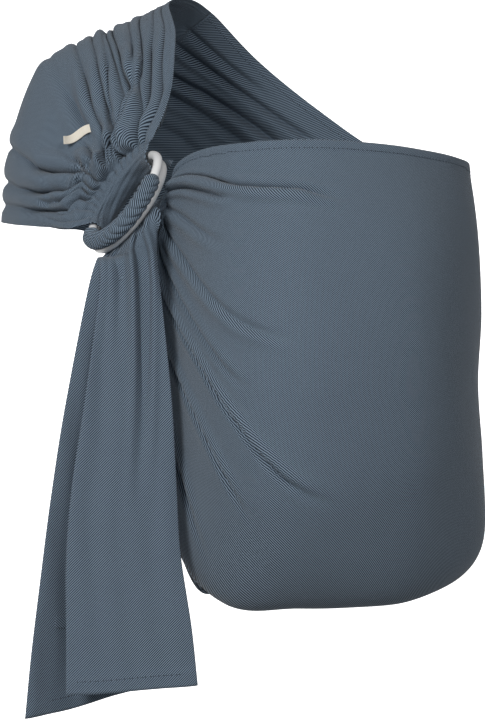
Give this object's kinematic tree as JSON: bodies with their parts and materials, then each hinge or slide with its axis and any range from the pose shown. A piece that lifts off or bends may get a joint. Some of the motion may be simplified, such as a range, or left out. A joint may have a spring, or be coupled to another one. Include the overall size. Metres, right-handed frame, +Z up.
{
  "type": "baby ring sling",
  "caption": "Ring sling of grey-blue twill, as worn: a pleated shoulder cap runs round the back into a front pouch, through a ring buckle, and down into a long tail.",
  "frame": {"origin": "top of the shoulder that carries the sling, just under the cloth", "axes": "+Z up, the wearer faces -Y, +X towards the shoulder that carries nothing"},
  "size_m": [0.4086, 0.4094, 0.6023],
  "materials": {
    "twill": "diagonal cotton twill weave, matte",
    "ring": "satin anodised",
    "thread": "matching sewing thread",
    "label": "plain woven ribbon, blank"
  },
  "bodies": {
    "root": {"shoulder_cap": "twill", "shoulder_loop": "twill", "back_panel": "twill", "front_pouch": "twill", "upper_rail_stitching": "thread", "lower_rail_stitching": "thread", "back_rail_stitching": "thread", "maker_label": "label"},
    "inner_ring": {"inner_ring": "ring"},
    "outer_ring": {"outer_ring": "ring", "ring_roll": "twill"},
    "tail_head": {"tail_head": "twill"},
    "tail": {"tail_front_fold": "twill", "tail_back_fold": "twill", "tail_hem_stitching": "thread", "care_label": "label"}
  },
  "joints": [
    {"name": "buckle_tilt", "type": "hinge", "parent": "root", "child": "inner_ring", "pos_m": [0.00222, -0.0979, -0.13802], "axis": [-0.5878, 0, -0.809], "range_deg": [0, 5]},
    {"name": "outer_ring_lift", "type": "hinge", "parent": "inner_ring", "child": "outer_ring", "pos_m": [-0.00119, -0.10734, -0.13184], "axis": [-0.5878, 0, -0.809], "range_deg": [0, 8]},
    {"name": "tail_swing", "type": "hinge", "parent": "inner_ring", "child": "tail_head", "pos_m": [0.00711, -0.17174, -0.17211], "axis": [0, 1, 0], "range_deg": [0, 4]},
    {"name": "tail_feed", "type": "slide", "parent": "tail_head", "child": "tail", "axis": [0, 0, -1], "range_m": [0, 0.08]}
  ]
}
